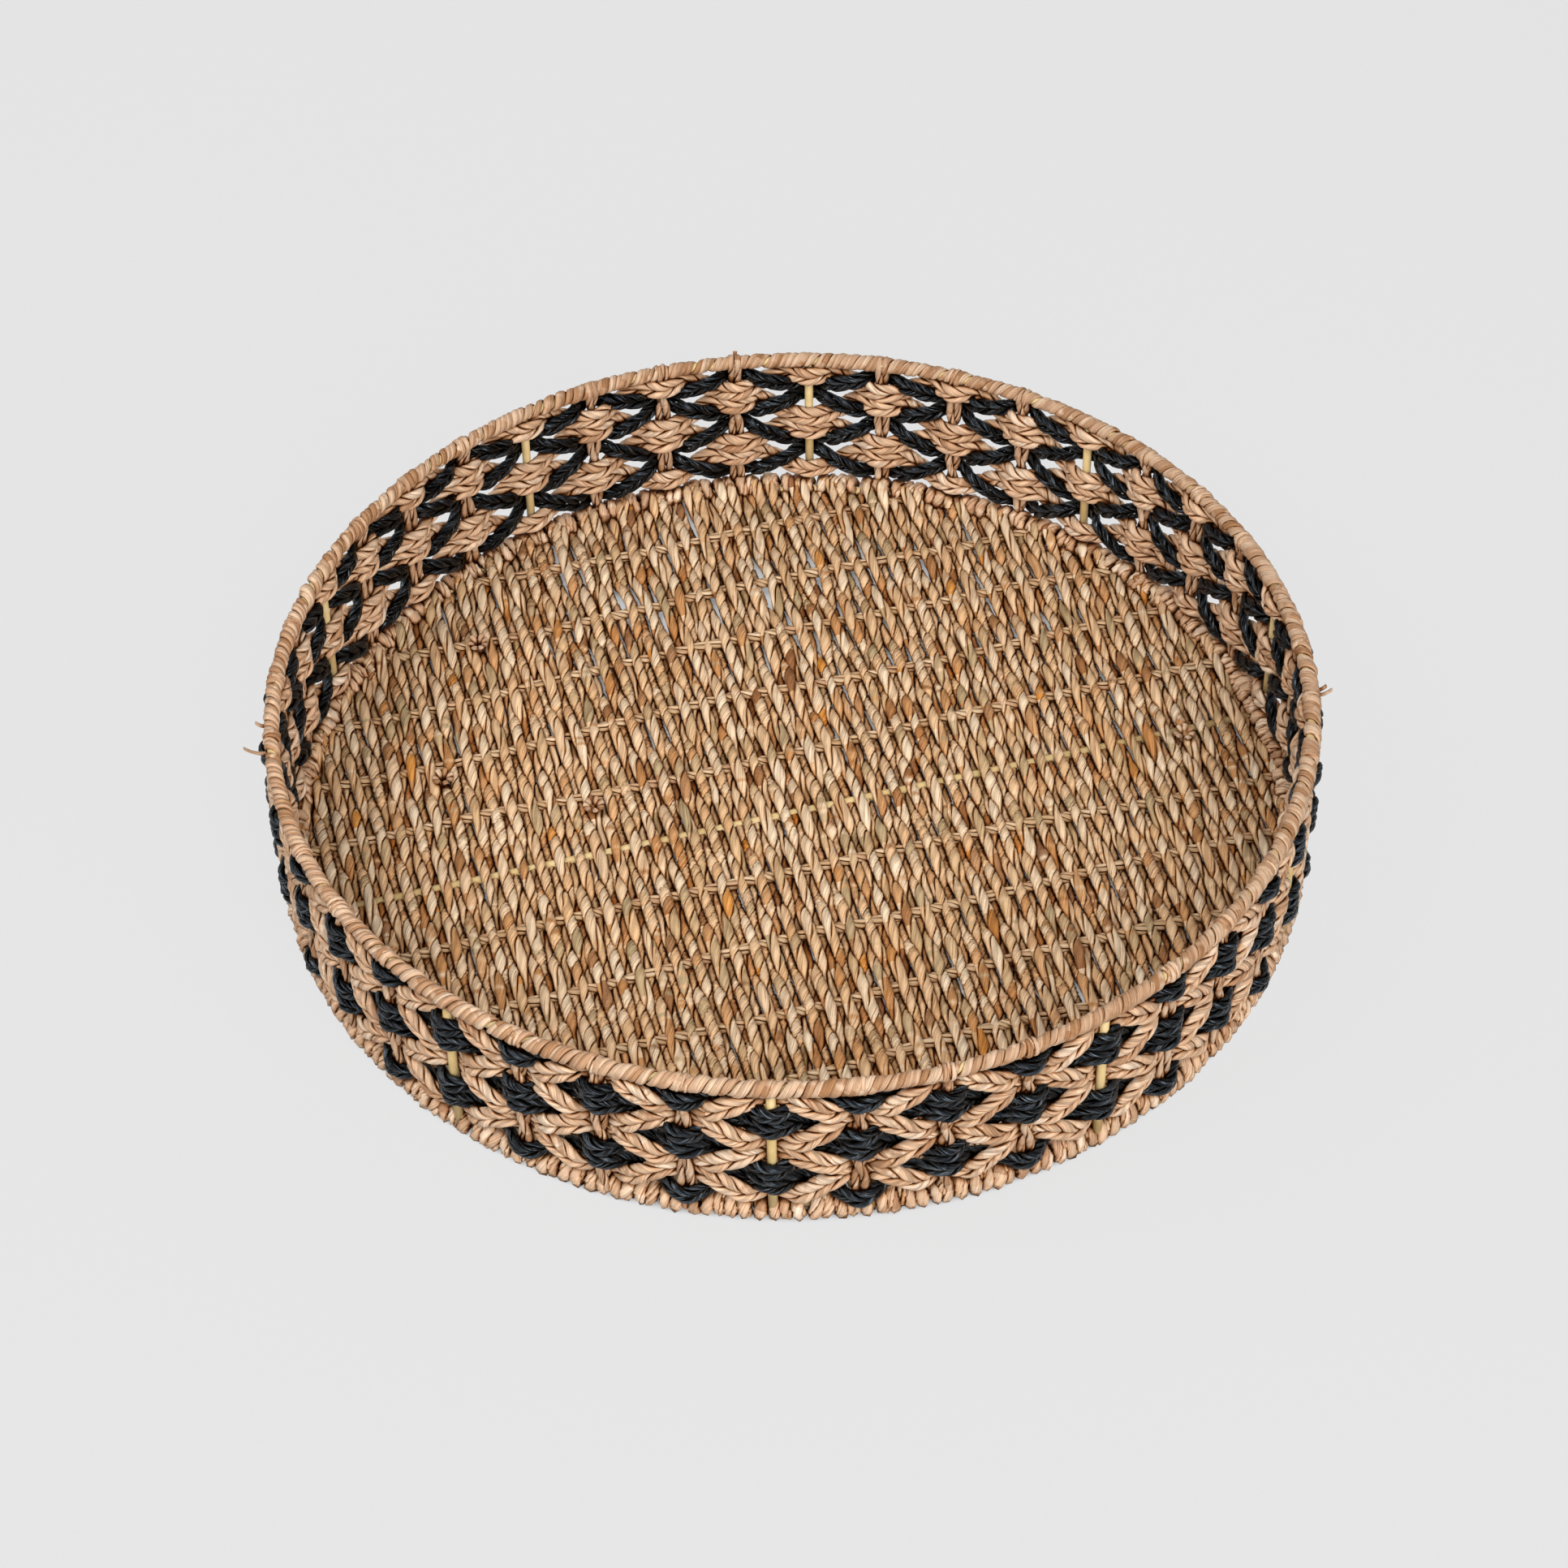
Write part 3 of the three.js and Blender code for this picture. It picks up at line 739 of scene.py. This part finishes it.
class TRAY_OT_base_mat(bpy.types.Operator):
    """Weaves the base rope over its cross cords and turns it round the base wire"""
    bl_idname = "tray.base_mat"
    bl_label = "Base mat"

    def execute(self, context):
        base = context.scene.tray_base
        colours = context.scene.tray_colours
        self.passes(base, base_grass(colours))
        self.cross_cords(base, cross_grass(colours))
        self.edge(base, natural_grass(colours))
        self.rope_ends(base, cord_grass(colours))
        return {"FINISHED"}

    def passes(self, base, material):
        """The passes of the base rope, in a few parts of even size."""
        routes = [self.one_pass(base, number) for number in range(base.passes)]
        half = base.rope / 2
        parts = 5
        per_part = math.ceil(len(routes) / parts)
        for part in range(parts):
            lay(f"base_rope_{part + 1}", routes[part * per_part:(part + 1) * per_part], material,
                ["base_mat"], "base_rope",
                {"Step": 1.75 * MM, "Lay": base.lay, "Slack": 1.15, "Ply offset": half * 0.46,
                 "Ply depth": half * 0.52, "Ply width": half * 0.86, "Unevenness": 0.8, "Flatness": 0.1,
                 "Sides": 8, "Plies": 2})

    def goes_over(self, number, y):
        """Whether a pass goes over the base wire at this side, and not under it."""
        return (number % 4 < 2) == (y > 0)

    def one_pass(self, base, number):
        """A pass goes over one cross cord and under the next, and its neighbours the other way round."""
        x = (number - (base.passes - 1) / 2) * base.pitch
        end = math.sqrt(base.radius ** 2 - x * x)
        side = 1 if number % 2 else -1
        steps = max(12, int(2 * end / (3 * MM)))
        points, thick = [], []
        for step in range(steps + 1):
            y = -end + 2 * end * step / steps
            swing = math.cos(math.pi * y / base.cord_pitch)
            rise = side * base.wave * swing * (1.5 - swing * swing / 2)
            rise *= 0.6 + 0.65 * chance("rise", number, round(y / base.cord_pitch))
            rise = max(rise, -base.sag)
            inside = ease(end - abs(y), 0.0, base.bend)
            turned = base.loop + base.lift if self.goes_over(number, y) else -base.dip
            height = base.height + rise * inside + turned * (1 - inside)
            height += wander(y / MM * 0.05, number + 300, 0.5 * MM)
            play = base.play + base.patch_play * max(0.0, noise.noise(Vector((x, y, 0)) / (90 * MM)))
            play += base.back_play * ease(y, 0.0, base.back)
            points.append(Vector((x + wander(y / MM * 0.03, number, play), y, height)))
            under = max(0.0, -side * swing)
            fat = 0.94 + 0.1 * under + 0.1 * chance("fat", number)
            thick.append(fat + wander(y / MM * 0.04, number + 600, 0.16))
        for last, y in ((0, -end), (len(points), end)):
            if self.goes_over(number, y):
                wrapped = self.wrap(base, Vector((x, y, base.height)), y > 0)
                points[last:last] = wrapped
                thick[last:last] = [0.75] * len(wrapped)
        twist = 0.76 + 0.46 * chance("twist", number)
        return Route(points, UP, hand=twist, tone=chance("pass", number), thick=thick)

    def wrap(self, base, wire, outward_last):
        """Points that take a pass over the base wire and down its outer side."""
        out = wire.normalized()
        out.z = 0.0
        reach = base.loop + base.lift
        turns = [math.radians(angle) for angle in (50, 15, -20)]
        points = [wire + out * reach * math.cos(turn) + UP * reach * math.sin(turn) for turn in turns]
        return points if outward_last else points[::-1]

    def cross_cords(self, base, material):
        """Cords of loose strands that the passes are woven on, on both sides of the centre wire."""
        routes = []
        for number in range(-base.cords, base.cords + 1):
            if number == 0:
                continue
            y = number * base.cord_pitch
            end = math.sqrt((base.radius - 2 * MM) ** 2 - y * y)
            steps = int(2 * end / (4 * MM))
            points = []
            for step in range(steps + 1):
                x = -end + 2 * end * step / steps
                drift = wander(x / MM * 0.02, number, 0.7 * MM) + wander(x / MM * 0.008, number, 6 * MM)
                height = base.height + 0.9 * MM + wander(x / MM * 0.03, number, 0.9 * MM)
                points.append(Vector((x, y + drift, height)))
            routes.append(Route(points, UP, tone=chance("cross", number)))
        lay("base_cross_cords", routes, material, ["base_mat"], "base_rope",
            {"Step": 1.9 * MM, "Lay": 34 * MM, "Slack": 0.9, "Ply offset": base.cord * 0.26,
             "Ply depth": 0.95 * MM, "Ply width": 1.25 * MM, "Unevenness": 0.6, "Flatness": 0.25,
             "Sides": 6, "Plies": 5})

    def edge(self, base, material):
        """Turns of rope round the base wire, pressed flat where the tray stands on them."""
        routes = []
        for number in range(base.loops):
            middle = 2 * math.pi * (number + 0.4 * chance("edge", number)) / base.loops
            lean = (chance("lean", number) - 0.4) * 3 * MM / base.radius
            radius = base.loop * (0.94 + 0.12 * chance("loop", number))
            fat = 0.9 + 0.25 * chance("fat edge", number)
            points, thick = [], []
            for step in range(12):
                wound = 2 * math.pi * step / 12
                height = base.height + 0.6 * MM + radius * 1.05 * math.sin(wound)
                points.append(around(middle + lean * math.sin(wound),
                                     base.radius + 1.7 * MM + radius * math.cos(wound),
                                     max(height, 1.6 * MM)))
                pressed = ease(-math.sin(wound), 0.5, 1.0)
                thick.append(fat * (1 - 0.55 * pressed))
            facing = around(middle + math.pi / 2, 1, 0)
            tone = chance("edge tone", number)
            routes.append(Route(points, facing, closed=True, tone=tone, thick=thick))
        lay("base_edge_turns", routes, material, ["base_mat"], "base_rope",
            {"Step": 1.8 * MM, "Lay": 21 * MM, "Ply offset": 1.2 * MM, "Ply depth": 1.8 * MM,
             "Ply width": 2.9 * MM, "Unevenness": 0.6, "Sides": 6, "Plies": 2})

    def rope_ends(self, base, material):
        """Open tufts where a rope ends, with the stems spread round a hollow middle."""
        routes = []
        for tuft, (x, y) in enumerate(ROPE_ENDS):
            stems = 7
            for stem in range(stems):
                angle = 2 * math.pi * (stem + 0.5 * chance("stem", tuft, stem)) / stems
                rise = 0.8 * MM * chance("rise", tuft, stem)
                corners = [Vector((x * MM, y * MM, base.height)) + around(angle, out * MM, up * MM + rise)
                           for out, up in ((1.6, 0.0), (2.0, 3.0), (2.9, 4.9), (4.6, 5.4))]
                tone = chance("stem tone", tuft, stem)
                routes.append(Route(smooth_path(corners), around(angle, 1, 0), hand=0, tone=tone))
        lay("base_rope_ends", routes, material, ["base_mat"], "base_rope",
            {"Step": 1.0 * MM, "Lay": 40 * MM, "Ply offset": 0.0, "Ply depth": 0.7 * MM,
             "Ply width": 1.3 * MM, "Unevenness": 0.4, "Sides": 6, "Plies": 1})


class TRAY_OT_stage(bpy.types.Operator):
    """Sets the floor, the light and the camera"""
    bl_idname = "tray.stage"
    bl_label = "Stage"

    def execute(self, context):
        self.floor(context)
        self.light(context)
        self.camera(context)
        context.scene.view_settings.view_transform = "Standard"
        return {"FINISHED"}

    def floor(self, context):
        """A sheet of paper that looks evenly pale, with the tray's faint shadow partly real and partly
        painted.
        """
        mesh = bpy.data.meshes.new("stage_floor")
        far = FLOOR_REACH
        corners = [(-far, -far, 0), (far, -far, 0), (far, far, 0), (-far, far, 0)]
        mesh.from_pydata(corners, [], [(0, 1, 2, 3)])
        floor = bpy.data.objects.new("stage_floor", mesh)
        context.scene.collection.objects.link(floor)
        material = bpy.data.materials.new("Matt paper")
        material.use_nodes = True
        tree = material.node_tree
        shader = tree.nodes["Principled BSDF"]
        shader.inputs["Base Color"].default_value = (*linear(FLOOR_SHADE), 1.0)
        shader.inputs["Roughness"].default_value = 0.9
        shader.inputs["Specular IOR Level"].default_value = 0.0
        glow = add(tree, "ShaderNodeEmission", {"Color": (*context.scene.tray_colours.paper, 1.0)})
        path = add(tree, "ShaderNodeLightPath", output="Is Camera Ray")
        seen = add(tree, MATH, (path, path.node.outputs["Is Glossy Ray"]), operation="MAXIMUM")
        seen = add(tree, MATH, (seen, path.node.outputs["Is Transmission Ray"]), operation="MAXIMUM")

        # Painted shadow: ambient occlusion fades the paper's even glow where the tray lies close over it
        open_sky = add(tree, "ShaderNodeAmbientOcclusion", {"Distance": 12 * MM}, "AO", samples=8)
        open_sky = add(tree, "ShaderNodeMapRange",
                       {"Value": open_sky, "From Min": 0.02, "From Max": 0.26, "To Max": 0.88})
        seen = add(tree, MATH, (seen, open_sky), operation="MULTIPLY")
        mixed = add(tree, "ShaderNodeMixShader", (seen, shader.outputs[0], glow))
        tree.links.new(mixed, tree.nodes["Material Output"].inputs["Surface"])
        mesh.materials.append(material)

    def light(self, context):
        """Even light from all round, and the lamps."""
        world = bpy.data.worlds.new("Soft studio")
        context.scene.world = world
        world.use_nodes = True
        background = world.node_tree.nodes["Background"]
        background.inputs["Color"].default_value = (1.0, 1.0, 1.0, 1.0)
        background.inputs["Strength"].default_value = LIGHT_ALL_ROUND
        for name, (place, width, power) in LAMPS.items():
            self.lamp(context, name, place, width, power)

    def lamp(self, context, name, place, width, power):
        """A square lamp that faces the tray."""
        data = bpy.data.lights.new(name, "AREA")
        data.size = width
        data.energy = power
        lamp = bpy.data.objects.new(name, data)
        lamp.location = place
        lamp.rotation_euler = (Vector((0, 0, 0.03)) - Vector(place)).to_track_quat("-Z", "Y").to_euler()
        context.scene.collection.objects.link(lamp)

    def camera(self, context):
        """A camera that sees the tray at the angle and in the frame set above."""
        pitch, roll, turn = (math.radians(angle) for angle in (VIEW_PITCH, VIEW_ROLL, VIEW_TURN))
        right = Vector((1, 0, 0))
        up = Vector((0, math.sin(pitch), math.cos(pitch)))
        ahead = Vector((0, math.cos(pitch), -math.sin(pitch)))
        aside, below = ((pixel - FRAME_SIDE / 2) / FOCAL_LENGTH for pixel in TRAY_CENTRE)
        place = -(right * aside - up * below + ahead) * VIEW_DISTANCE
        sideways = right * math.cos(roll) - up * math.sin(roll)
        upright = right * math.sin(roll) + up * math.cos(roll)
        axes = Matrix((sideways, upright, -ahead)).transposed().to_4x4()
        data = bpy.data.cameras.new("Camera")
        data.sensor_width = 36.0
        data.lens = FOCAL_LENGTH / FRAME_SIDE * data.sensor_width
        data.clip_end = 20.0
        camera = bpy.data.objects.new("Camera", data)
        camera.matrix_world = Matrix.Rotation(turn, 4, "Z") @ Matrix.Translation(place) @ axes
        context.scene.collection.objects.link(camera)
        context.scene.camera = camera


class TRAY_PT_panel(bpy.types.Panel):
    """Lists the tray's sizes, colours and pieces"""
    bl_idname = "TRAY_PT_panel"
    bl_label = "Seagrass tray"
    bl_space_type = "VIEW_3D"
    bl_region_type = "UI"
    bl_category = "Tray"

    def draw(self, context):
        for name, group in GROUPS.items():
            box = self.layout.box()
            for size in group.__annotations__:
                box.prop(getattr(context.scene, name), size)
        for operator in OPERATORS:
            self.layout.operator(operator.bl_idname)


GROUPS = {"tray_wall": TrayWall, "tray_rim": TrayRim, "tray_base": TrayBase, "tray_colours": TrayColours}
OPERATORS = (TRAY_OT_frame_wires, TRAY_OT_wall_weavers, TRAY_OT_wall_cords, TRAY_OT_rim_binding,
             TRAY_OT_base_mat, TRAY_OT_stage)


def register():
    for cls in (*GROUPS.values(), *OPERATORS, TRAY_PT_panel):
        bpy.utils.register_class(cls)
    for name, group in GROUPS.items():
        setattr(bpy.types.Scene, name, bpy.props.PointerProperty(type=group))


def unregister():
    for name in GROUPS:
        delattr(bpy.types.Scene, name)
    for cls in (TRAY_PT_panel, *reversed(OPERATORS), *reversed(GROUPS.values())):
        bpy.utils.unregister_class(cls)


def main():
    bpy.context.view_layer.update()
    register()
    bpy.ops.tray.frame_wires()
    bpy.ops.tray.wall_weavers()
    bpy.ops.tray.wall_cords()
    bpy.ops.tray.rim_binding()
    bpy.ops.tray.base_mat()
    bpy.ops.tray.stage()


if __name__ == "__main__":
    main()
